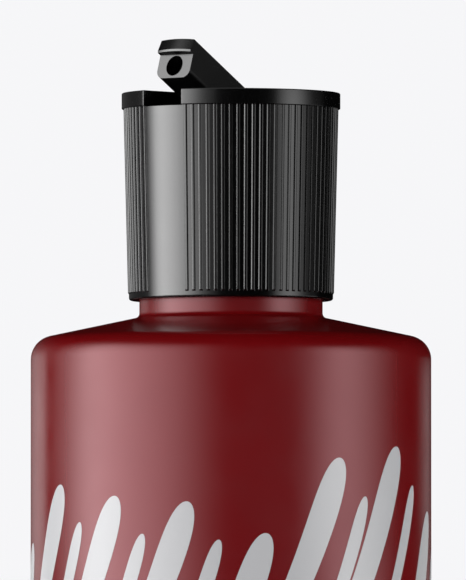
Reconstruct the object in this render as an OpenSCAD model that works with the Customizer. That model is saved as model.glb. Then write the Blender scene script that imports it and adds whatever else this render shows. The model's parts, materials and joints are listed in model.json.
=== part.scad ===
// Round bottle for shaving cream, closed by a ribbed screw cap with a flip-up spout.
// Millimetres, +Z up. The origin is the centre of the base, and the spout points to -Y.
// The spout is drawn part raised, which is its rest position.

/* [Bottle] */
// Height of the cap's flat top above the base
deck_z = 200; // [180:1:220]
// Outer radius of the body
body_r = 32; // [30:0.5:34]
// Thickness of the blown wall
wall = 1.3; // [1:0.1:1.6]
// Slope of the shoulder, in degrees
shoulder_slope = 12; // [9:1:14]
// Radius of the rounded corner between shoulder and body
shoulder_round = 3.75; // [2.5:0.25:5]
// Radius of the rounded corner at the base
base_round = 4; // [3:0.5:6]
// Height of the push-up under the base
push_up = 2.5; // [1.5:0.5:4]

/* [Neck] */
// Radius of the collar between shoulder and thread
collar_r = 14.63; // [14.4:0.01:14.7]
// Radius of the fillet between collar and shoulder
collar_fillet = 0.85; // [0.5:0.05:1.2]
// Height of the neck finish above the shoulder
finish_h = 18; // [17:0.5:18.5]
// Outer radius of the neck at the thread root
neck_r = 12.55; // [12.4:0.05:12.6]
// Inner radius of the mouth
mouth_r = 10.8; // [10:0.1:11]
// Crest radius of the neck thread
thread_r = 13.75; // [13.6:0.05:13.8]
// Axial pitch of the thread, six turns to the inch
thread_pitch = 4.2333; // [4:0.0001:4.5]
// Turns of thread on the neck and in the closure
thread_turns = 1.5; // [1:0.25:1.5]

/* [Cap] */
// Height of the cap
cap_h = 33.1; // [32:0.1:34]
// Open gap between the shoulder and the cap
cap_gap = 2.7; // [2:0.1:3.2]
// Radius of the smooth rim around the top
rim_r = 17.47; // [17.3:0.01:18]
// Height of the rim
rim_h = 2.55; // [2.4:0.05:2.7]
// Radius of the side between the ribs, just under the rim
side_top_r = 17.03; // [16.8:0.01:17.1]
// Radius of the side between the ribs, at the foot
side_foot_r = 16.3; // [16.1:0.01:16.5]
// Height of the smooth band below the ribs
band_h = 1; // [0.5:0.1:2]
// Rib positions around the cap
rib_count = 86; // [60:2:100]
// Rib positions left smooth under the spout
bare_ribs = 6; // [4:2:8]
// Height of a rib above the side
rib_depth = 0.15; // [0.1:0.01:0.25]
// Inner radius of the cap's shell
shell_bore_r = 15.05; // [15:0.05:15.1]

/* [Spout] */
// Width of the spout
spout_w = 6.8; // [6:0.1:7]
// Height of the spout's section
spout_h = 6; // [5.6:0.1:6.2]
// Depth of the hinge axis below the cap's top, also the radius of the hinge barrel
pivot_drop = 3.5; // [3.3:0.1:3.6]
// Distance of the hinge axis from the cap's axis, towards the tip
pivot_forward = 0.2; // [0:0.1:1]
// Angle of the raised spout at rest
rest_angle = 30; // [0:0.5:90]
// Height of the finger lip at the tip
lip_h = 2.2; // [1.9:0.05:2.3]
// Reach of the finger lip past the tip's face
lip_reach = 1.25; // [1:0.05:1.3]
// Lean of the tip's face, in degrees
face_lean = 12.5; // [10:0.5:16]
// Radius of the outlet bore
outlet_r = 1.65; // [1.2:0.1:1.7]
// Width of the slot that the spout folds into
slot_w = 7.5; // [7.4:0.1:7.8]

/* [Hidden] */
$fn = 96;

cap_z = deck_z - cap_h;
neck_root_z = cap_z - cap_gap;
neck_top_z = neck_root_z + finish_h;
shoulder_z = neck_root_z - (body_r - collar_r) * tan(shoulder_slope);

// Bottle: the collar tapers to the neck inside the cap, and the base stands on a flat ring
collar_h = 4.3;
collar_taper = 0.9;
collar_wall = 1.85;
ring_r = body_r - base_round;
ring_w = 7;
dish_r = 16;
lip_round = 0.4;

// Threads: trapezoids that sink into their walls, and the closure's run below the neck's
thread_z = neck_root_z + 9.4;
thread_root_w = 2.3;
thread_crest_w = 1.1;
thread_sink = 0.3;
thread_play = 0.2;
thread_steps = 48;
thread_run_out = 4;
closure_root_r = thread_r + 0.25;
closure_crest_r = neck_r + 0.3;
closure_drop = (thread_root_w + thread_crest_w) / 2 + thread_play;

// Closure: liner, threaded insert, and the keys that turn it with the shell
liner_t = 1;
liner_r = neck_r - 0.15;
liner_hole_r = 4;
plate_z = neck_top_z + liner_t;
plate_t = 1.5;
insert_z = neck_root_z + 5;
insert_r = shell_bore_r - 0.05;
bead_z = insert_z + 7;
bead_h = 1;
bead_out = 0.25;
key_count = 6;
key_w = 1.6;
key_h = 12;
key_depth = 0.45;
key_gap = 0.05;
key_sink = 0.3;

// Ribs: widths of foot and crest as shares of their spacing, and the smooth core that they stand on
rib_foot = 0.53;
rib_crest = 0.27;
rib_seat = 0.1;
core_inset = 0.4;

// Cap top: the deck, and the trough that holds the spout
deck_t = 1.6;
deck_bevel = 0.15;
band_round = 0.4;
rim_z = deck_z - rim_h;
notch_z = rim_z - 0.05;
ledge_h = 1;
ledge_w = 0.85;
trough_wall = 1.2;
pivot_z = deck_z - pivot_drop;
barrel_gap = 0.1;
floor_gap = 0.35;
face_gap = 0.15;
trunnion_r = 1.5;
trunnion_gap = 0.05;
trunnion_len = 1.2;
boss_r = 3;
floor_z = deck_z - spout_h - floor_gap;
lip_z = deck_z - lip_h;

// Flow path: the bore passes just under the hinge axis and lines up with the chimney when upright
bore_drop = 0.5;
chimney_y = -pivot_forward - bore_drop;
chimney_r = 2.6;
chimney_top_z = pivot_z - 5.5;
seal_gap = 0.05;
seal_top_z = deck_z - spout_h - seal_gap;
spout_round = 1.35;

// Points on an arc, in the radius and height plane
function arc(centre, r, from, to, steps = 8) =
    [for (i = [0:steps]) let (a = from + (to - from) * i / steps) centre + r * [cos(a), sin(a)]];

// Height of the shoulder's cone at a radius
function shoulder_at(r) = shoulder_z + (body_r - r) * tan(shoulder_slope);

// Direction at an angle around the cap, counted from the spout's side
function around(a) = [sin(a), -cos(a)];

// Front wall of the trough, parallel to the closed spout's leaning face
function trough_front(z) = -(rim_r - lip_reach + face_gap) + (lip_z - z) * tan(face_lean);

// One ridge of a thread, with inner and outer radius and the width at each; it fades out at its ends.
module ridge(inner_r, outer_r, inner_w, outer_w, z, external) {
    n = ceil(thread_turns * thread_steps);
    function full(i) = min(1, (0.25 + min(i, n - i)) / thread_run_out);
    function inner(i) = external ? inner_r : outer_r - (outer_r - inner_r) * full(i);
    function outer(i) = external ? inner_r + (outer_r - inner_r) * full(i) : outer_r;
    rings = [for (i = [0:n]) let (a = i * 360 / thread_steps, h = z + thread_pitch * a / 360)
        each [for (p = [[inner(i), -inner_w], [outer(i), -outer_w], [outer(i), outer_w], [inner(i), inner_w]])
            [p[0] * cos(a), p[0] * sin(a), h + p[1] / 2]]];
    sides = [for (i = [0:n - 1], j = [0:3]) let (a = 4 * i + j, b = 4 * i + (j + 1) % 4)
        each [[a, b, b + 4], [a, b + 4, a + 4]]];
    polyhedron(rings, concat(sides, [[3, 2, 1, 0], [for (j = [0:3]) 4 * n + j]]));
}

// Blown bottle: domed corners, dished base, sloping shoulder, collar and threaded neck
module bottle() {
    corner = [body_r - shoulder_round,
              shoulder_at(body_r - shoulder_round) - shoulder_round / cos(shoulder_slope)];
    fillet = [collar_r + collar_fillet,
              shoulder_at(collar_r + collar_fillet) + collar_fillet / cos(shoulder_slope)];
    foot = [body_r - base_round, base_round];
    slope_a = 90 - shoulder_slope;
    collar_top = neck_root_z + collar_h;
    inner_collar_r = collar_r - collar_wall;
    outside = concat(
        [[0, push_up], [dish_r, push_up], [ring_r - ring_w, 0]],
        arc(foot, base_round, -90, 0),
        arc(corner, shoulder_round, 0, slope_a),
        arc(fillet, collar_fillet, 180 + slope_a, 180),
        [[collar_r, collar_top], [neck_r, collar_top + collar_taper]],
        arc([neck_r - lip_round, neck_top_z - lip_round], lip_round, 0, 90, 4));
    inside = concat(
        [[mouth_r, neck_top_z], [mouth_r, collar_top + wall],
         [inner_collar_r, collar_top - wall],
         [inner_collar_r, shoulder_at(inner_collar_r) - wall / cos(shoulder_slope)]],
        arc(corner, shoulder_round - wall, slope_a, 0),
        arc(foot, base_round - wall, 0, -90),
        [[ring_r - ring_w, wall], [dish_r, push_up + wall], [0, push_up + wall]]);
    color("#5b0a10") {
        rotate_extrude() polygon(concat(outside, inside));
        ridge(neck_r - thread_sink, thread_r, thread_root_w, thread_crest_w, thread_z, true);
    }
}

// Foam ring between the neck's lip and the closure's plate
module closure_liner() {
    color("#e9e6dc") translate([0, 0, neck_top_z]) difference() {
        cylinder(r = liner_r, h = liner_t);
        translate([0, 0, -1]) cylinder(r = liner_hole_r, h = liner_t + 2);
    }
}

// The drive keys around the inside of the shell, or the slots that they sit in
module keys(gap) {
    for (k = [0:key_count - 1]) rotate([0, 0, k * 360 / key_count])
        translate([shell_bore_r - key_depth - gap, -key_w / 2 - gap, plate_z - key_h - gap])
            cube([key_depth + gap + key_sink, key_w + 2 * gap, key_h + 2 * gap]);
}

// Threaded insert: skirt, snap bead, plate and the chimney that feeds the spout
module closure_insert() {
    color("#202022") difference() {
        union() {
            difference() {
                rotate_extrude() polygon([
                    [closure_root_r, insert_z], [insert_r, insert_z],
                    [insert_r, bead_z], [insert_r + bead_out, bead_z + bead_h / 4],
                    [insert_r + bead_out, bead_z + bead_h * 3 / 4], [insert_r, bead_z + bead_h],
                    [insert_r, plate_z + plate_t], [0, plate_z + plate_t],
                    [0, plate_z], [closure_root_r, plate_z]]);
                keys(key_gap);
            }
            ridge(closure_crest_r, closure_root_r + thread_sink, thread_crest_w, thread_root_w,
                  thread_z - closure_drop, false);
            translate([0, chimney_y, plate_z]) cylinder(r = chimney_r, h = chimney_top_z - plate_z);
        }
        translate([0, chimney_y, plate_z - 1]) cylinder(r = outlet_r, h = chimney_top_z - plate_z + 2);
    }
}

// Outline of the ribbed side, smooth under the spout
function rib_outline() = let (pitch = 360 / rib_count, foot = rib_foot / 2, crest = rib_crest / 2)
    [for (k = [0:rib_count - 1])
        let (a = (k + 0.5) * pitch, bare = k < bare_ribs / 2 || k >= rib_count - bare_ribs / 2)
        each [for (p = bare ? [[-foot, 0], [foot, 0]] : [[-foot, 0], [-crest, 1], [crest, 1], [foot, 0]])
            (side_foot_r + rib_depth * p[1]) * around(a + p[0] * pitch)]];

// The hollow that the spout swings in, open at the top and through the rim
module trough() {
    rotate([90, 0, 90]) translate([0, 0, -slot_w / 2]) linear_extrude(slot_w) polygon([
        [-rim_r - 1, notch_z], [trough_front(notch_z), notch_z],
        [trough_front(floor_z), floor_z], [-pivot_forward, floor_z],
        [-pivot_forward, pivot_z], [pivot_drop + barrel_gap - pivot_forward, pivot_z],
        [pivot_drop + barrel_gap - pivot_forward, deck_z + 1], [-rim_r - 1, deck_z + 1]]);
    translate([-slot_w / 2, -pivot_forward, pivot_z]) rotate([0, 90, 0])
        cylinder(r = pivot_drop + barrel_gap, h = slot_w);
}

// Walls hung under the deck around the trough, with a boss at each end of the hinge
module trough_housing() {
    half = slot_w / 2 + trough_wall;
    back = pivot_drop + barrel_gap + trough_wall - pivot_forward;
    front = trough_front(floor_z) - face_gap;
    top_z = deck_z - deck_t / 2;
    translate([-half, front, floor_z - trough_wall])
        cube([2 * half, back - front, top_z - floor_z + trough_wall]);
    intersection() {
        translate([-shell_bore_r, -shell_bore_r, 0]) cube([2 * shell_bore_r, 2 * shell_bore_r, top_z]);
        translate([0, -pivot_forward, pivot_z]) rotate([0, 90, 0]) union() {
            cylinder(r = pivot_drop + barrel_gap + trough_wall, h = 2 * half, center = true);
            cylinder(r = boss_r, h = 2 * half + 2, center = true);
        }
    }
}

// Outer shell of the cap: ribbed side, rim, deck and trough
module cap_shell() {
    ribs_z = cap_z + band_h;
    ribs_h = rim_z + rib_seat - ribs_z;
    socket_len = slot_w + 2 * trunnion_len;
    color("#161617") difference() {
        union() {
            difference() {
                union() {
                    rotate_extrude() polygon(concat(
                        [[0, cap_z]],
                        arc([side_foot_r - band_round, cap_z + band_round], band_round, -90, 0, 4),
                        [[side_foot_r, ribs_z - rib_seat], [side_foot_r - core_inset, ribs_z + rib_seat],
                         [side_top_r - core_inset, rim_z], [rim_r, rim_z],
                         [rim_r, deck_z - deck_bevel], [rim_r - deck_bevel, deck_z], [0, deck_z]]));
                    translate([0, 0, ribs_z])
                        linear_extrude(ribs_h, scale = side_top_r / side_foot_r) polygon(rib_outline());
                }
                rotate_extrude() polygon([
                    [0, cap_z - 1], [shell_bore_r, cap_z - 1],
                    [shell_bore_r, bead_z - key_gap], [shell_bore_r + bead_out, bead_z - key_gap],
                    [shell_bore_r + bead_out, bead_z + bead_h + key_gap],
                    [shell_bore_r, bead_z + bead_h + key_gap],
                    [shell_bore_r, plate_z + plate_t + key_gap],
                    [shell_bore_r - ledge_w, plate_z + plate_t + key_gap],
                    [shell_bore_r - ledge_w, plate_z + plate_t + key_gap + ledge_h],
                    [shell_bore_r, plate_z + plate_t + key_gap + ledge_h],
                    [shell_bore_r, deck_z - deck_t], [0, deck_z - deck_t]]);
            }
            trough_housing();
            keys(0);
        }
        trough();
        translate([-socket_len / 2, -pivot_forward, pivot_z]) rotate([0, 90, 0])
            cylinder(r = trunnion_r + trunnion_gap, h = socket_len);
        translate([0, chimney_y, chimney_top_z]) cylinder(r = chimney_r + seal_gap, h = pivot_z - chimney_top_z);
    }
}

// Soft ring on the chimney, hollowed to the hinge barrel that it seals against and clear of the closed spout
module spout_seal() {
    color("#b9b5aa") difference() {
        translate([0, chimney_y, chimney_top_z]) cylinder(r = chimney_r, h = seal_top_z - chimney_top_z);
        translate([0, chimney_y, chimney_top_z - 1]) cylinder(r = outlet_r, h = pivot_z - chimney_top_z + 2);
        translate([-slot_w / 2, -pivot_forward, pivot_z]) rotate([0, 90, 0])
            cylinder(r = pivot_drop + seal_gap, h = slot_w);
    }
}

// Section of the spout's bar, about the hinge axis, with its two lower edges rounded
module spout_section() {
    low = pivot_drop - spout_h;
    translate([-spout_w / 2, low + spout_round]) square([spout_w, spout_h - spout_round]);
    translate([-spout_w / 2 + spout_round, low]) square([spout_w - 2 * spout_round, spout_h / 2]);
    for (side = [-1, 1]) translate([side * (spout_w / 2 - spout_round), low + spout_round])
        circle(r = spout_round);
}

// Spout: bar with finger lip and leaning face, hinge barrel, trunnions and bore
module spout() {
    low = pivot_drop - spout_h;
    lip_low = pivot_drop - lip_h;
    face_y = -(rim_r - lip_reach - pivot_forward);
    color("#141415") translate([0, -pivot_forward, pivot_z]) rotate([-rest_angle, 0, 0]) difference() {
        union() {
            intersection() {
                rotate([90, 0, 0]) linear_extrude(rim_r) spout_section();
                rotate([90, 0, 90]) translate([0, 0, -spout_w / 2 - 1]) linear_extrude(spout_w + 2) polygon([
                    [0, low], [0, pivot_drop], [-rim_r, pivot_drop], [-rim_r, lip_low],
                    [face_y, lip_low], [face_y + (lip_low - low) * tan(face_lean), low]]);
                translate([0, pivot_forward, -pivot_drop - 1]) cylinder(r = rim_r, h = 2 * pivot_drop + 2);
            }
            translate([-spout_w / 2, 0, 0]) rotate([0, 90, 0]) cylinder(r = pivot_drop, h = spout_w);
            translate([-spout_w / 2 - trunnion_len, 0, 0]) rotate([0, 90, 0])
                cylinder(r = trunnion_r, h = spout_w + 2 * trunnion_len);
        }
        translate([0, rim_r / 2, -bore_drop]) rotate([90, 0, 0]) cylinder(r = outlet_r, h = 2 * rim_r);
    }
}

bottle();
closure_liner();
closure_insert();
cap_shell();
spout_seal();
spout();
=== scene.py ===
import json
import math

import bmesh
import bpy
from mathutils import Matrix, Vector


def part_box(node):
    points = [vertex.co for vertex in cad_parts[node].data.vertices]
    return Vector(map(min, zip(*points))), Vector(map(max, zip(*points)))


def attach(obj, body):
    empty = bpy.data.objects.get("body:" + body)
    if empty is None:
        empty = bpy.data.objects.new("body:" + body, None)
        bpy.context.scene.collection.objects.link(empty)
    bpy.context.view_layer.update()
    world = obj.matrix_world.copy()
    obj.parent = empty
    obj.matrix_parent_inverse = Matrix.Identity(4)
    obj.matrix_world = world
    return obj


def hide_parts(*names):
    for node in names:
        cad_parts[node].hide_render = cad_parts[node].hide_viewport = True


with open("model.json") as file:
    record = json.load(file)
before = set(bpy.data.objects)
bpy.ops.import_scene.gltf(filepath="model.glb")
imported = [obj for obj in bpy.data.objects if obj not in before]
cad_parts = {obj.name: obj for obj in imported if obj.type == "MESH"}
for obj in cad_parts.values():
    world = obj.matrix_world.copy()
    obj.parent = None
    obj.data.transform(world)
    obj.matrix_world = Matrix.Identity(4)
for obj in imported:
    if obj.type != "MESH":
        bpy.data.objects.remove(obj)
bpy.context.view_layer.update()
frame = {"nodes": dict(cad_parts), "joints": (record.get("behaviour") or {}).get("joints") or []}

MM = 0.001
joints = {j["name"]: j for j in frame["joints"]}


def box_mm(node):
    low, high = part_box(node)
    return low / MM, high / MM


# Sizes in millimetres. What the frame can say comes from it, and the rest repeats the CAD model.
BODY_R = box_mm("bottle")[1].x
NECK_TOP = box_mm("bottle")[1].z
CAP_LOW = box_mm("cap_shell")[0].z
DECK_Z = box_mm("cap_shell")[1].z
RIM_R = box_mm("cap_shell")[1].x
INSERT_LOW = box_mm("closure_insert")[0].z
PLATE_LOW = box_mm("closure_liner")[1].z
PIVOT = Vector(joints["spout_tilt"]["pos_m"]) / MM
REST_ANGLE = -joints["spout_tilt"]["range_deg"][0]

WALL = 1.3
SHOULDER_SLOPE = math.radians(12)
SHOULDER_ROUND = 3.75
BASE_ROUND = 4
PUSH_UP = 2.5
PUSH_UP_R = 14
STANDING_R = 21.2
# The bottle's side is drawn this far inside the CAD's, so that the print on it stays inside too.
PRINT_ROOM = 0.04
COLLAR_R = 14.63
COLLAR_H = 4.3
COLLAR_WALL = 1.85
COLLAR_FILLET = 0.85
FINISH_H = 18
NECK_ROOT = NECK_TOP - FINISH_H
NECK_R = 12.55
NECK_STEP = 0.9
MOUTH_R = 10.8
THREAD_R = 13.75
THREAD_PITCH = 4.2333
THREAD_TURNS = 1.5
THREAD_ROOT_W = 2.3
THREAD_CREST_W = 1.1
THREAD_SUNK = 0.3
THREAD_GAP = 0.25
THREAD_Z = NECK_ROOT + 9.4

RIM_H = 2.55
RIM_Z = DECK_Z - RIM_H
SIDE_TOP_R = 17.03
SIDE_FOOT_R = 16.3
BAND_H = 1.0
RIB_COUNT = 86
BARE_RIBS = 6
RIB_DEPTH = 0.15
# Half of a rib: distance from its middle in rib spacings, and height. The crest is eased at its edge.
RIB_HALF = ((0.105, 1), (0.17, 0.785), (0.265, 0))
SHELL_BORE_R = 15.05
DECK_T = 1.6
SLOT_HALF = 3.75
TROUGH_WALL = 1.2
TROUGH_GAP = 0.35
TROUGH_FRONT_GAP = 0.15
PLATE_T = 1.5
BEAD_LOW = INSERT_LOW + 7
BEAD_H = 1
FIT_GAP = 0.05

SPOUT_HALF = 3.4
SPOUT_TOP = 3.5
SPOUT_LOW = SPOUT_TOP - 6
LIP_LOW = SPOUT_TOP - 2.2
LIP_REACH = 1.25
FACE_LEAN = math.radians(12.5)
FACE_ROUND = 1.35
OUTLET_R = 1.65
BORE_DROP = 0.5
BARREL_GAP = 0.1
FACE_ROUND_END = -3.2
TRUNNION_R = 1.5
TRUNNION_L = 1.2
CHIMNEY_R = 2.6
CHIMNEY_PLACE = (0, PIVOT.y - BORE_DROP)
CHIMNEY_TOP = PIVOT.z - 5.5

# The photograph's side, in degrees from the spout's side towards +X.
CAMERA_SIDE = 40


# ---------------------------------------------------------------- mesh tools

def arc(centre_r, centre_z, radius, start, end, steps):
    """Points along an arc in a plane, with the angles in degrees."""
    angles = [math.radians(start + (end - start) * i / steps) for i in range(steps + 1)]
    return [(centre_r + radius * math.cos(a), centre_z + radius * math.sin(a)) for a in angles]


def solid(name, points, faces):
    """A mesh object from points in millimetres, its normals turned outwards."""
    mesh = bpy.data.meshes.new(name)
    mesh.from_pydata([Vector(p) * MM for p in points], [], faces)
    piece = bpy.data.objects.new(name, mesh)
    bpy.context.scene.collection.objects.link(piece)
    bm = bmesh.new()
    bm.from_mesh(mesh)
    bmesh.ops.recalc_face_normals(bm, faces=bm.faces)
    bm.to_mesh(mesh)
    bm.free()
    return piece


def ring_solid(name, rings):
    """A closed solid from rings of points, each ring closed and the last joined to the first."""
    count, size = len(rings), len(rings[0])
    faces = [(i * size + j, i * size + (j + 1) % size,
              (i + 1) % count * size + (j + 1) % size, (i + 1) % count * size + j)
             for i in range(count) for j in range(size)]
    return solid(name, [p for ring in rings for p in ring], faces)


def lathe(name, profile, segments):
    """A solid of revolution from a closed outline of (radius, height). Points on the axis become poles."""
    angles = [2 * math.pi * k / segments for k in range(segments)]
    points, index = [], []
    for r, z in profile:
        if r == 0:
            index.append([len(points)] * segments)
            points.append((0, 0, z))
        else:
            index.append(list(range(len(points), len(points) + segments)))
            points += [(r * math.sin(a), -r * math.cos(a), z) for a in angles]
    faces = []
    for a, b in zip(index, index[1:] + index[:1]):
        for k in range(segments):
            corners = list(dict.fromkeys([a[k], a[(k + 1) % segments], b[(k + 1) % segments], b[k]]))
            if len(corners) > 2:
                faces.append(corners)
    return solid(name, points, faces)


def prism(name, outline, axis, low, high):
    """An outline pushed along an axis. The outline is in the two other axes, in X, Y, Z order."""
    place = "xyz".index(axis)
    n = len(outline)
    points = [(*p[:place], t, *p[place:]) for t in (low, high) for p in outline]
    faces = [tuple(range(n)), tuple(range(n, 2 * n))]
    faces += [(i, (i + 1) % n, n + (i + 1) % n, n + i) for i in range(n)]
    return solid(name, points, faces)


def rod(name, radius, axis, centre, low, high, segments=96):
    """A cylinder along an axis, through a centre in the two other axes."""
    outline = arc(centre[0], centre[1], radius, 0, 360, segments)[:-1]
    return prism(name, outline, axis, low, high)


def bake_modifiers(piece):
    """Applies the piece's modifiers to its mesh."""
    mesh = bpy.data.meshes.new_from_object(piece.evaluated_get(bpy.context.evaluated_depsgraph_get()))
    piece.modifiers.clear()
    piece.data = mesh


def combine(piece, tool, operation):
    """Joins, cuts or intersects the piece with a tool object, and removes the tool."""
    modifier = piece.modifiers.new("combine", "BOOLEAN")
    modifier.object, modifier.operation, modifier.solver = tool, operation, "EXACT"
    bake_modifiers(piece)
    bpy.data.objects.remove(tool)


def soften(piece, width):
    """Rounds the piece's sharp edges to a width in millimetres."""
    modifier = piece.modifiers.new("soften", "BEVEL")
    modifier.width, modifier.segments = width * MM, 2
    modifier.limit_method, modifier.angle_limit = "ANGLE", math.radians(30)
    modifier.use_clamp_overlap = True
    bake_modifiers(piece)


def shade(piece, sharp_angle=32):
    """Smooth shading, with edges sharper than the angle kept crisp."""
    piece.data.polygons.foreach_set("use_smooth", [True] * len(piece.data.polygons))
    piece.data.set_sharp_from_angle(angle=math.radians(sharp_angle))


def flatten_shading(piece):
    """Keeps broad flat faces flat beside their rounded edges."""
    modifier = piece.modifiers.new("flatten", "WEIGHTED_NORMAL")
    modifier.keep_sharp = True
    bake_modifiers(piece)


def thread_ridge(name, root_r, crest_r, start_z):
    """One helical ridge with a rounded crest, outside or inside its root. It fades out at both ends."""
    steps, fade = 120, 12
    count = round(THREAD_TURNS * steps)
    outwards = 1 if crest_r > root_r else -1
    rings = []
    for i in range(count + 1):
        full = min(1, (0.5 + min(i, count - i)) / fade)
        full = full * full * (3 - 2 * full)
        a, z = 2 * math.pi * i / steps, start_z + THREAD_PITCH * i / steps
        top = root_r + (crest_r - root_r) * max(full, 0.12)
        half = (THREAD_ROOT_W + (THREAD_CREST_W - THREAD_ROOT_W) * full) / 2
        flank = [(root_r, THREAD_ROOT_W / 2), (top - outwards * 0.25, half + 0.12),
                 (top - outwards * 0.06, half - 0.06), (top, half - 0.3)]
        section = [(r, -dz) for r, dz in flank] + flank[::-1]
        rings.append([(r * math.cos(a), r * math.sin(a), z + dz) for r, dz in section])
    size = len(rings[0])
    faces = [(i * size + j, i * size + (j + 1) % size, (i + 1) * size + (j + 1) % size, (i + 1) * size + j)
             for i in range(count) for j in range(size)]
    faces += [tuple(range(size)), tuple(count * size + j for j in range(size))]
    return solid(name, [p for ring in rings for p in ring], faces)


# ---------------------------------------------------------------- pieces

def shoulder_at(r):
    """Height of the shoulder's slope at a radius."""
    return NECK_ROOT - (r - COLLAR_R) * math.tan(SHOULDER_SLOPE)


def make_bottle():
    """Up the outside from the pushed-up base to the neck's lip, and back down the inside."""
    slope, tilt = math.degrees(SHOULDER_SLOPE), math.cos(SHOULDER_SLOPE)
    skin = BODY_R - PRINT_ROOM
    corner = (skin - SHOULDER_ROUND, shoulder_at(skin - SHOULDER_ROUND) - SHOULDER_ROUND / tilt)
    fillet = (COLLAR_R + COLLAR_FILLET, shoulder_at(COLLAR_R + COLLAR_FILLET) + COLLAR_FILLET / tilt)
    foot = (skin - BASE_ROUND, BASE_ROUND)
    collar_top = NECK_ROOT + COLLAR_H
    inner_collar = COLLAR_R - COLLAR_WALL
    hollow_round, toe, collar_edge, lip, mouth_edge = 2, 0.5, 0.2, 0.4, 0.25
    outside = [(0, PUSH_UP), (PUSH_UP_R, PUSH_UP)]
    outside += arc(PUSH_UP_R, PUSH_UP - hollow_round, hollow_round, 90, 35, 6)
    outside += [(STANDING_R - 1, toe / 2)] + arc(STANDING_R, toe, toe, 200, 270, 4)
    outside += arc(*foot, BASE_ROUND, -90, 0, 14)
    # Rows up the straight side keep its faces short.
    outside += [(skin, z) for z in range(10, 156, 5)]
    outside += arc(*corner, SHOULDER_ROUND, 0, 90 - slope, 18)
    outside += arc(*fillet, COLLAR_FILLET, 270 - slope, 180, 8)
    outside += [(COLLAR_R, collar_top - collar_edge), (COLLAR_R - collar_edge, collar_top),
                (NECK_R, collar_top + NECK_STEP)]
    outside += arc(NECK_R - lip, NECK_TOP - lip, lip, 0, 90, 5)
    inside = arc(MOUTH_R + mouth_edge, NECK_TOP - mouth_edge, mouth_edge, 90, 180, 4)
    inside += [(MOUTH_R, collar_top + WALL), (inner_collar, collar_top - WALL),
               (inner_collar, shoulder_at(inner_collar) - WALL / tilt)]
    inside += arc(*corner, SHOULDER_ROUND - WALL, 90 - slope, 0, 10)
    inside += arc(*foot, BASE_ROUND - WALL, 0, -90, 8)
    inside += [(21, WALL), (PUSH_UP_R + hollow_round, PUSH_UP + WALL), (0, PUSH_UP + WALL)]
    piece = lathe("bottle_body", outside + inside, 288)
    combine(piece, thread_ridge("ridge", NECK_R - THREAD_SUNK, THREAD_R, THREAD_Z), "UNION")
    shade(piece)
    return piece


def rib_columns():
    """Where the ribbed side has a column: its angle from the spout's side, and its height from 0 to 1."""
    profile = [(-u, h) for u, h in reversed(RIB_HALF)] + [(0, 1), *RIB_HALF, (0.5, 0)]
    for k in range(RIB_COUNT):
        smooth = k < BARE_RIBS / 2 or k >= RIB_COUNT - BARE_RIBS / 2
        for u, height in profile:
            yield (k + 0.5 + u) * 2 * math.pi / RIB_COUNT, 0 if smooth else height


def cap_side():
    """The ribbed wall of the cap, closed by its bore."""
    ribs_z = CAP_LOW + BAND_H
    foot_edge, rib_end, overlap, bead_gap, groove, bore_edge = 0.4, 0.22, 0.15, 0.1, 0.25, 0.25

    def base_r(z):
        return SIDE_FOOT_R + (SIDE_TOP_R - SIDE_FOOT_R) * (z - ribs_z) / (RIM_Z - ribs_z)

    rows = [(r, z, 0) for r, z in arc(SIDE_FOOT_R - foot_edge, CAP_LOW + foot_edge, foot_edge, -90, 0, 8)]
    rows += [(SIDE_FOOT_R, ribs_z - 0.02, 0), (base_r(ribs_z + rib_end), ribs_z + rib_end, 1)]
    heights = [ribs_z + 0.5 + (RIM_Z - ribs_z - 0.5) * k / 8 for k in range(9)] + [RIM_Z + overlap]
    rows += [(base_r(z), z, 1) for z in heights]
    low, high = BEAD_LOW - bead_gap, BEAD_LOW + BEAD_H + bead_gap
    bore = [(SHELL_BORE_R, RIM_Z + overlap), (SHELL_BORE_R, high), (SHELL_BORE_R + groove, high),
            (SHELL_BORE_R + groove, low), (SHELL_BORE_R, low), (SHELL_BORE_R, CAP_LOW + bore_edge),
            (SHELL_BORE_R + bore_edge, CAP_LOW)]
    rings = []
    for phi, height in rib_columns():
        rib = RIB_DEPTH * height
        section = [(r + rib * share, z) for r, z, share in rows] + bore
        rings.append([(r * math.sin(phi), -r * math.cos(phi), z) for r, z in section])
    return ring_solid("cap_outer", rings)


def trough_front(z):
    """Where the trough's end wall stands at a height, just ahead of the closed spout's leaning face."""
    return -(RIM_R - LIP_REACH + TROUGH_FRONT_GAP) + (PIVOT.z + LIP_LOW - z) * math.tan(FACE_LEAN)


def mouth_round(side):
    """Plan of what rounds the slot's corner at the rim, on one side."""
    round_r, inner_x, past = 0.25, SLOT_HALF - 0.3, 1.08
    x = SLOT_HALF + round_r
    y = -math.sqrt((RIM_R - round_r) ** 2 - x ** 2)
    out = math.degrees(math.atan2(y, x))
    plan = [(inner_x, y)] + arc(x, y, round_r, -180, out, 12) + [(x * past, y * past), (inner_x, y * past)]
    return [(side * x, y) for x, y in plan]


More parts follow.
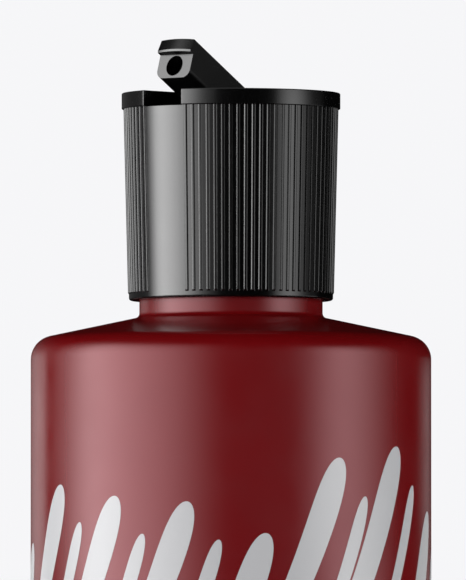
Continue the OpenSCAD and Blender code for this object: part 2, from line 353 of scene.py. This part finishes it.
def make_cap():
    """The shell: ribbed side, top with its rim, and a walled trough for the spout."""
    hinge = (PIVOT.y, PIVOT.z)
    floor_z = PIVOT.z + SPOUT_LOW - TROUGH_GAP
    barrel_r = SPOUT_TOP + BARREL_GAP
    back = PIVOT.y + barrel_r
    deck_low, plate_r, rim_edge = DECK_Z - DECK_T, SHELL_BORE_R + 0.3, 0.18
    outline = [(0, deck_low), (plate_r, deck_low), (plate_r, RIM_Z)]
    outline += arc(RIM_R - rim_edge, RIM_Z + rim_edge, rim_edge, -90, 0, 8)
    outline += arc(RIM_R - rim_edge, DECK_Z - rim_edge, rim_edge, 0, 90, 8) + [(0, DECK_Z)]
    plate = lathe("plate", outline, 360)

    half, front, housing_top = SLOT_HALF + TROUGH_WALL, -15.6, DECK_Z - 0.8
    meet = math.degrees(math.acos((PIVOT.z - floor_z + TROUGH_WALL) / (barrel_r + TROUGH_WALL)))
    outline = [(front, floor_z - TROUGH_WALL)] + arc(*hinge, barrel_r + TROUGH_WALL, -90 - meet, 0, 16)
    outline += [(back + TROUGH_WALL, housing_top), (front, housing_top)]
    housing = prism("housing", outline, "x", -half, half)
    combine(housing, rod("boss", 2 * TRUNNION_R, "x", hinge, -half - 1, half + 1), "UNION")
    hole = rod("hole", CHIMNEY_R + FIT_GAP, "z", CHIMNEY_PLACE, floor_z - 5, floor_z + 1)
    combine(housing, hole, "DIFFERENCE")
    combine(plate, housing, "UNION")
    piece = cap_side()
    combine(piece, plate, "UNION")

    ahead, above, notch_z = -RIM_R - 1, DECK_Z + 1, RIM_Z - 0.05
    meet = math.degrees(math.acos((PIVOT.z - floor_z) / barrel_r))
    outline = [(ahead, notch_z), (trough_front(notch_z), notch_z), (trough_front(floor_z), floor_z)]
    outline += arc(*hinge, barrel_r, -90 - meet, 0, 24) + [(back, above), (ahead, above)]
    combine(piece, prism("trough", outline, "x", -SLOT_HALF, SLOT_HALF), "DIFFERENCE")
    combine(piece, rod("sockets", TRUNNION_R + FIT_GAP, "x", hinge, -half, half), "DIFFERENCE")
    for side in (-1, 1):
        combine(piece, prism("mouth", mouth_round(side), "z", notch_z + 0.002, above), "DIFFERENCE")
    wide, narrow, high, low = SLOT_HALF + 0.2, SLOT_HALF - 0.1, DECK_Z + 0.06, DECK_Z - 0.24
    outline = [(-wide, high), (-narrow, low), (narrow, low), (wide, high)]
    combine(piece, prism("chamfer", outline, "y", ahead, back - 0.1), "DIFFERENCE")
    shade(piece, 16)
    return piece


def make_spout():
    """Built folded down, about its hinge, then raised to the rest angle."""
    face_y = -(RIM_R - LIP_REACH + PIVOT.y)
    foot_y = face_y + (LIP_LOW - SPOUT_LOW) * math.tan(FACE_LEAN)
    meet = 90 + math.degrees(math.acos(-SPOUT_LOW / SPOUT_TOP))
    ahead = -RIM_R - 1
    side = [(ahead, SPOUT_TOP), (ahead, LIP_LOW), (face_y, LIP_LOW), (foot_y, SPOUT_LOW)]
    side += arc(0, 0, SPOUT_TOP, -meet, 90, 64)
    piece = prism("spout_lever", side, "x", -SPOUT_HALF, SPOUT_HALF)
    # The lip ends on the rim's circle, and its lower edge is eased back.
    eased_r, ease_h, reach = RIM_R - 0.16, 0.3, 9
    outline = [(0, -reach), (eased_r, -reach), (eased_r, LIP_LOW),
               (RIM_R, LIP_LOW + ease_h), (RIM_R, reach), (0, reach)]
    tip = lathe("tip", outline, 720)
    tip.data.transform(Matrix.Translation((0, -PIVOT.y * MM, 0)))
    combine(piece, tip, "INTERSECT")
    x, z = SPOUT_HALF - FACE_ROUND, SPOUT_LOW + FACE_ROUND
    corner = [(SPOUT_HALF + 0.5, z)] + arc(x, z, FACE_ROUND, 0, -90, 10)
    corner += [(x, SPOUT_LOW - 0.5), (SPOUT_HALF + 0.5, SPOUT_LOW - 0.5)]
    for s in (-1, 1):
        outline = [(s * x, z) for x, z in corner]
        combine(piece, prism("corner", outline, "y", -RIM_R, FACE_ROUND_END), "DIFFERENCE")
    combine(piece, rod("bore", OUTLET_R, "y", (0, -BORE_DROP), -20, 5), "DIFFERENCE")
    for s in (-1, 1):
        ends = sorted((s * (SPOUT_HALF - 0.2), s * (SPOUT_HALF + TRUNNION_L)))
        combine(piece, rod("trunnion", TRUNNION_R, "x", (0, 0), *ends, 48), "UNION")
    soften(piece, 0.07)
    piece.data.transform(Matrix.Translation(PIVOT * MM) @ Matrix.Rotation(math.radians(-REST_ANGLE), 4, "X"))
    shade(piece, 20)
    flatten_shading(piece)
    return piece


def make_insert():
    """The threaded skirt, its plate over the neck, and the chimney that feeds the spout."""
    root_r, out = THREAD_R + THREAD_GAP, SHELL_BORE_R - FIT_GAP
    low, plate, top = INSERT_LOW, PLATE_LOW, PLATE_LOW + PLATE_T
    edge, lead_in, cove, bead_out, bead_slope = 0.2, 0.3, 0.4, 0.22, 0.25
    profile = [(root_r + lead_in, low), (out - edge, low), (out, low + edge), (out, BEAD_LOW),
               (out + bead_out, BEAD_LOW + bead_slope), (out + bead_out, BEAD_LOW + BEAD_H - bead_slope),
               (out, BEAD_LOW + BEAD_H), (out, top - edge), (out - edge, top), (0, top), (0, plate),
               (root_r - cove, plate), (root_r, plate - cove), (root_r, low + lead_in)]
    piece = lathe("insert_body", profile, 256)
    # Half a root and half a crest below the neck's thread, so the two lie side by side.
    drop = (THREAD_ROOT_W + THREAD_CREST_W) / 2 + 0.2
    ridge = thread_ridge("ridge", root_r + THREAD_SUNK, NECK_R + 0.3, THREAD_Z - drop)
    combine(piece, ridge, "UNION")
    combine(piece, rod("chimney", CHIMNEY_R, "z", CHIMNEY_PLACE, plate + 0.5, CHIMNEY_TOP), "UNION")
    combine(piece, rod("bore", OUTLET_R, "z", CHIMNEY_PLACE, plate - 1, CHIMNEY_TOP + 1, 64), "DIFFERENCE")
    shade(piece)
    return piece


# The print is a ring of leaning blades, each with a thin one beside it: a plain pattern with no lettering.
PRINT_SIDE = math.radians(CAMERA_SIDE - 12)
INK_R = (BODY_R - PRINT_ROOM - 0.01, BODY_R - 0.012)
BLADE_PAIRS = 16
BLADE_LENGTH = 54
BLADE_HALF = 2.5
BLADE_LEAN = 27
BLADE_BOW = 2.5
BLADE_TOPS = (134, 129, 141, 143, 133, 128, 137, 135)
THIN_LENGTH = 42
THIN_HALF = 1.3
THIN_DROP = 6
THIN_SHIFT = 4.9


def blade_point(k, t, u):
    """A point on a blade: t runs up it and u across it from -1 to 1. Distance around the body, and height."""
    pair, thin = divmod(k, 2)
    top = BLADE_TOPS[pair % len(BLADE_TOPS)] - THIN_DROP * thin
    length = THIN_LENGTH if thin else BLADE_LENGTH
    half = (THIN_HALF if thin else BLADE_HALF) * (1 - abs(2 * t - 1) ** 7) ** 0.5 * (0.4 + 0.6 * t)
    along = BLADE_LEAN * (t - 1) * length / BLADE_LENGTH + BLADE_BOW * math.sin(math.pi * t)
    around = 2 * math.pi * BODY_R * pair / BLADE_PAIRS + along + THIN_SHIFT * thin + half * u
    return around, top - length * (1 - t) - 0.45 * half * u


def make_print():
    """The ink: each blade a thin solid, half sunk in the bottle's side."""
    rows, columns = 64, 10
    points, faces = [], []
    for k in range(2 * BLADE_PAIRS):
        for r in INK_R:
            for i in range(rows + 1):
                t = 0.5 - 0.5 * math.cos(math.pi * (0.004 + 0.992 * i / rows))
                for j in range(columns + 1):
                    s, z = blade_point(k, t, 2 * j / columns - 1)
                    a = s / BODY_R + PRINT_SIDE
                    points.append((r * math.sin(a), -r * math.cos(a), z))
        size = (rows + 1) * (columns + 1)
        first = k * 2 * size
        for i in range(rows):
            for j in range(columns):
                a = first + i * (columns + 1) + j
                quad = (a, a + 1, a + columns + 2, a + columns + 1)
                faces += [quad, tuple(q + size for q in quad)]
        rim = list(range(columns)) + [i * (columns + 1) + columns for i in range(rows)]
        rim += [rows * (columns + 1) + j for j in range(columns, 0, -1)]
        rim += [i * (columns + 1) for i in range(rows, 0, -1)]
        rim = [first + q for q in rim]
        faces += [(a, b, b + size, a + size) for a, b in zip(rim, rim[1:] + rim[:1])]
    piece = solid("bottle_print", points, faces)
    shade(piece, 50)
    return piece


# ---------------------------------------------------------------- materials

def add(nodes, kind, **values):
    node = nodes.new(kind)
    for name, value in values.items():
        if hasattr(node, name):
            setattr(node, name, value)
        else:
            node.inputs[name.replace("_", " ")].default_value = value
    return node


def plastic(name, colour, roughness, grain_mm, grain_depth, spread=0.03, mottle=0.06, specular=0.5,
            highlight=(1, 1, 1)):
    """Moulded plastic: a slightly uneven colour, a mottled gloss and a fine grain."""
    colour_patch, gloss_patch = 14, 6
    material = bpy.data.materials.new(name)
    material.use_nodes = True
    nodes, links = material.node_tree.nodes, material.node_tree.links
    shader = nodes["Principled BSDF"]
    shader.inputs["Specular IOR Level"].default_value = specular
    shader.inputs["Specular Tint"].default_value = (*highlight, 1)
    place = add(nodes, "ShaderNodeTexCoord")

    def noise(size_mm, detail):
        node = add(nodes, "ShaderNodeTexNoise", Scale=1 / (size_mm * MM), Detail=detail, Roughness=0.55)
        links.new(place.outputs["Object"], node.inputs["Vector"])
        return node.outputs["Fac"]

    def spread_to(value, low, high):
        node = add(nodes, "ShaderNodeMapRange")
        node.inputs["From Min"].default_value, node.inputs["From Max"].default_value = 0.3, 0.7
        node.inputs["To Min"].default_value, node.inputs["To Max"].default_value = low, high
        links.new(value, node.inputs["Value"])
        return node.outputs["Result"]

    blend = add(nodes, "ShaderNodeMix", data_type="RGBA")
    factor, dark, light = blend.inputs[0], blend.inputs[6], blend.inputs[7]
    dark.default_value = (*[c * (1 - mottle) for c in colour], 1)
    light.default_value = (*[c * (1 + mottle) for c in colour], 1)
    links.new(noise(colour_patch, 2), factor)
    links.new(blend.outputs[2], shader.inputs["Base Color"])
    gloss = spread_to(noise(gloss_patch, 3), roughness - spread, roughness + spread)
    links.new(gloss, shader.inputs["Roughness"])
    bump = add(nodes, "ShaderNodeBump", Strength=1.0, Distance=grain_depth * MM)
    links.new(noise(grain_mm, 2), bump.inputs["Height"])
    links.new(bump.outputs["Normal"], shader.inputs["Normal"])
    return material


bottle_plastic = plastic("bottle_plastic", (0.066, 0.0009, 0.0015), 0.23, 0.55, 0.005,
                         highlight=(1, 0.62, 0.66))
print_ink = plastic("print_ink", (0.222, 0.222, 0.228), 0.29, 0.55, 0.002, spread=0.01, mottle=0.01)
cap_plastic = plastic("cap_plastic", (0.0015, 0.0015, 0.0016), 0.2, 0.25, 0.001, spread=0.015)
insert_plastic = plastic("insert_plastic", (0.012, 0.012, 0.0125), 0.34, 0.3, 0.003)
liner_foam = plastic("liner_foam", (0.68, 0.66, 0.6), 0.8, 0.22, 0.03, specular=0.3)
seal_rubber = plastic("seal_rubber", (0.27, 0.26, 0.24), 0.6, 0.2, 0.004)


def dress(piece, material):
    piece.data.materials.clear()
    piece.data.materials.append(material)


def settle(piece, body, node, material):
    """Puts a piece on its body in place of a CAD node."""
    dress(piece, material)
    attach(piece, body)
    if node:
        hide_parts(node)


bottle, print_on_it = make_bottle(), make_print()
cap, insert, spout = make_cap(), make_insert(), make_spout()
liner, seal = frame["nodes"]["closure_liner"], frame["nodes"]["spout_seal"]
settle(bottle, "bottle", "bottle", bottle_plastic)
settle(print_on_it, "bottle", None, print_ink)
settle(cap, "cap", "cap_shell", cap_plastic)
settle(insert, "cap", "closure_insert", insert_plastic)
settle(spout, "spout", "spout", cap_plastic)
dress(liner, liner_foam)
dress(seal, seal_rubber)


# ---------------------------------------------------------------- studio

# Directions are around the bottle from the camera's side, in degrees, positive to the camera's right.
# Heights and distances are in metres.
CAMERA_DISTANCE = 2.285
CAMERA_HEIGHT = 0.078
AIM = (0.00032, 0.1686)
LENS = 889


def towards(angle, distance, height):
    a = math.radians(CAMERA_SIDE + angle)
    return Vector((math.sin(a) * distance, -math.cos(a) * distance, height))


def group(name, pieces):
    collection = bpy.data.collections.new(name)
    for piece in pieces:
        collection.objects.link(piece)
    return collection


def level_at(levels, x):
    """A value from a list of evenly spaced levels, with x from 0 to 1."""
    x *= len(levels) - 1
    k = min(int(x), len(levels) - 2)
    return levels[k] + (levels[k + 1] - levels[k]) * (x - k)


def softbox(name, start, end, low, high, distance, strength, across=(1, 1), up=(1, 1), lit=None, shine=True):
    """A curved panel of light between two directions, brighter or dimmer across it and up it.
    lit is a collection of the pieces that it lights, as a shade beside a lamp would arrange.
    A panel without shine doesn't show in reflections."""
    columns, rows = 24, 16
    points, levels, faces = [], [], []
    for i in range(columns + 1):
        for j in range(rows + 1):
            height = low + (high - low) * j / rows
            points.append(towards(start + (end - start) * i / columns, distance, height))
            levels.append(strength * level_at(across, i / columns) * level_at(up, j / rows))
    for i in range(columns):
        for j in range(rows):
            a = i * (rows + 1) + j
            faces.append((a, a + 1, a + rows + 2, a + rows + 1))
    mesh = bpy.data.meshes.new(name)
    mesh.from_pydata(points, [], faces)
    glow = mesh.color_attributes.new("glow", "FLOAT_COLOR", "POINT")
    for point, level in zip(glow.data, levels):
        point.color = (level, level, level, 1)
    panel = bpy.data.objects.new(name, mesh)
    bpy.context.scene.collection.objects.link(panel)
    material = bpy.data.materials.new(name)
    material.use_nodes = True
    nodes, links = material.node_tree.nodes, material.node_tree.links
    nodes.clear()
    level = nodes.new("ShaderNodeAttribute")
    level.attribute_name = "glow"
    emission = nodes.new("ShaderNodeEmission")
    links.new(level.outputs["Color"], emission.inputs["Color"])
    # Light from the panels behind passes through this one.
    clear = nodes.new("ShaderNodeBsdfTransparent")
    both = nodes.new("ShaderNodeAddShader")
    links.new(emission.outputs["Emission"], both.inputs[0])
    links.new(clear.outputs["BSDF"], both.inputs[1])
    output = nodes.new("ShaderNodeOutputMaterial")
    links.new(both.outputs["Shader"], output.inputs["Surface"])
    mesh.materials.append(material)
    panel.visible_camera = False
    panel.visible_shadow = False
    panel.visible_glossy = shine
    if lit:
        panel.light_linking.receiver_collection = lit


def overhead(name, height, radius, strength, lit):
    """A round panel of light above the object."""
    data = bpy.data.lights.new(name, "AREA")
    data.shape, data.size = "DISK", 2 * radius
    data.energy = strength * math.pi ** 2 * radius ** 2
    lamp = bpy.data.objects.new(name, data)
    bpy.context.scene.collection.objects.link(lamp)
    lamp.location = (0, 0, height)
    lamp.visible_camera = False
    lamp.light_linking.receiver_collection = lit


def daylight(name, strength, softness, lit):
    """Even light from above on the floor, out to the horizon."""
    data = bpy.data.lights.new(name, "SUN")
    data.energy, data.angle = strength, math.radians(softness)
    lamp = bpy.data.objects.new(name, data)
    bpy.context.scene.collection.objects.link(lamp)
    lamp.light_linking.receiver_collection = lit


def backdrop(pale, dim):
    """Pale behind the object and dim in its reflections."""
    world = bpy.data.worlds.new("studio")
    bpy.context.scene.world = world
    world.use_nodes = True
    nodes, links = world.node_tree.nodes, world.node_tree.links
    path = nodes.new("ShaderNodeLightPath")
    mix = nodes.new("ShaderNodeMix")
    mix.data_type = "RGBA"
    mix.inputs[6].default_value = (*dim, 1)
    mix.inputs[7].default_value = (*pale, 1)
    links.new(path.outputs["Is Camera Ray"], mix.inputs[0])
    links.new(mix.outputs[2], nodes["Background"].inputs["Color"])


def floor():
    """The ground under the bottle. The bottle's reflections don't show it."""
    size = 6
    mesh = bpy.data.meshes.new("floor")
    corners = [(-size, -size, 0), (size, -size, 0), (size, size, 0), (-size, size, 0)]
    mesh.from_pydata(corners, [], [(0, 1, 2, 3)])
    plane = bpy.data.objects.new("floor", mesh)
    bpy.context.scene.collection.objects.link(plane)
    mesh.materials.append(plastic("floor", (0.8, 0.8, 0.81), 0.7, 2, 0.01, mottle=0.01))
    plane.visible_glossy = False
    return plane


def camera():
    """The photograph's view: a little below the cap, from far off with a long lens."""
    data = bpy.data.cameras.new("camera")
    data.lens, data.sensor_width = LENS, 36
    data.clip_start, data.clip_end = 0.1, 50
    eye = bpy.data.objects.new("camera", data)
    bpy.context.scene.collection.objects.link(eye)
    eye.location = towards(0, CAMERA_DISTANCE, CAMERA_HEIGHT)
    aim = towards(90, AIM[0], AIM[1])
    eye.rotation_euler = (aim - eye.location).to_track_quat("-Z", "Y").to_euler()
    bpy.context.scene.camera = eye


backdrop((0.923, 0.923, 0.939), (0.003, 0.003, 0.003))
ground = floor()
on_bottle = group("lit_low", [bottle, print_on_it])
on_cap = group("lit_high", [cap, insert, spout, liner, seal])
on_floor = group("lit_floor", [ground])
softbox("cap_left", -104, -16, 0.08, 0.75, 0.5, 10.3, lit=on_cap,
        across=(0.01, 0.28, 0.8, 1.02, 0.98, 0.89, 0.75, 0.57, 0.44, 0.27, 0.11, 0.05, 0.03),
        up=(1, 1, 1, 0.93, 0.75, 0.5, 0.3, 0.15))
softbox("cap_right", 47, 111, 0, 0.5, 0.5, 3, lit=on_cap,
        across=(0.02, 0.6, 1, 1, 0.62, 0.22, 0.05, 0.03, 0.03), up=(1, 1, 1, 0.8, 0.4, 0))
softbox("cap_right_low", 92, 114, -0.02, 0.1, 0.5, 0.9, lit=on_cap)
softbox("cap_back", -165, -108, 0.08, 0.5, 0.5, 0.1, lit=on_cap)
softbox("bottle_left", -120, 0, 0, 0.7, 0.52, 7, lit=on_bottle,
        across=(0.06, 0.1, 0.26, 0.56, 0.94, 1.05, 1, 0.9, 0.79, 0.68, 0.57, 0.45, 0.3, 0.15, 0.04, 0),
        up=(1, 1.03, 0.96, 0.87, 0.72, 0.45, 0.15, 0))
softbox("bottle_right", 36, 114, 0, 0.5, 0.52, 3.9, lit=on_bottle,
        across=(0.02, 0.18, 0.6, 0.92, 1, 0.82, 0.54, 0.3, 0.13, 0.03, 0), up=(1, 1, 1, 0.9, 0.5, 0))
softbox("bottle_left_edge", -160, -122, 0.005, 0.225, 0.14, 1.05, lit=on_bottle,
        across=(0.03, 0.3, 0.6, 0.95, 1), up=(1, 1, 1, 1, 1, 1, 1, 1, 0.4, 0.05, 0))
softbox("bottle_right_edge", 124, 160, 0.005, 0.162, 0.14, 0.25, lit=on_bottle, across=(0.1, 1, 1.45, 0.3, 0))
softbox("fill", 0, 80, 0, 0.4, 0.54, 2.9, lit=on_bottle, shine=False)
softbox("left_fill", -90, -50, 0.1, 0.5, 0.54, 2, lit=on_bottle, shine=False)
softbox("left_side_fill", -155, -110, 0, 0.4, 0.54, 6, lit=on_bottle, shine=False)
softbox("right_side_fill", 120, 165, 0, 0.4, 0.54, 4, lit=on_bottle, shine=False)
overhead("overhead", 0.9, 0.45, 0.9, on_cap)
daylight("daylight", 3.7, 100, on_floor)
camera()
bpy.context.scene.view_settings.view_transform = "Standard"
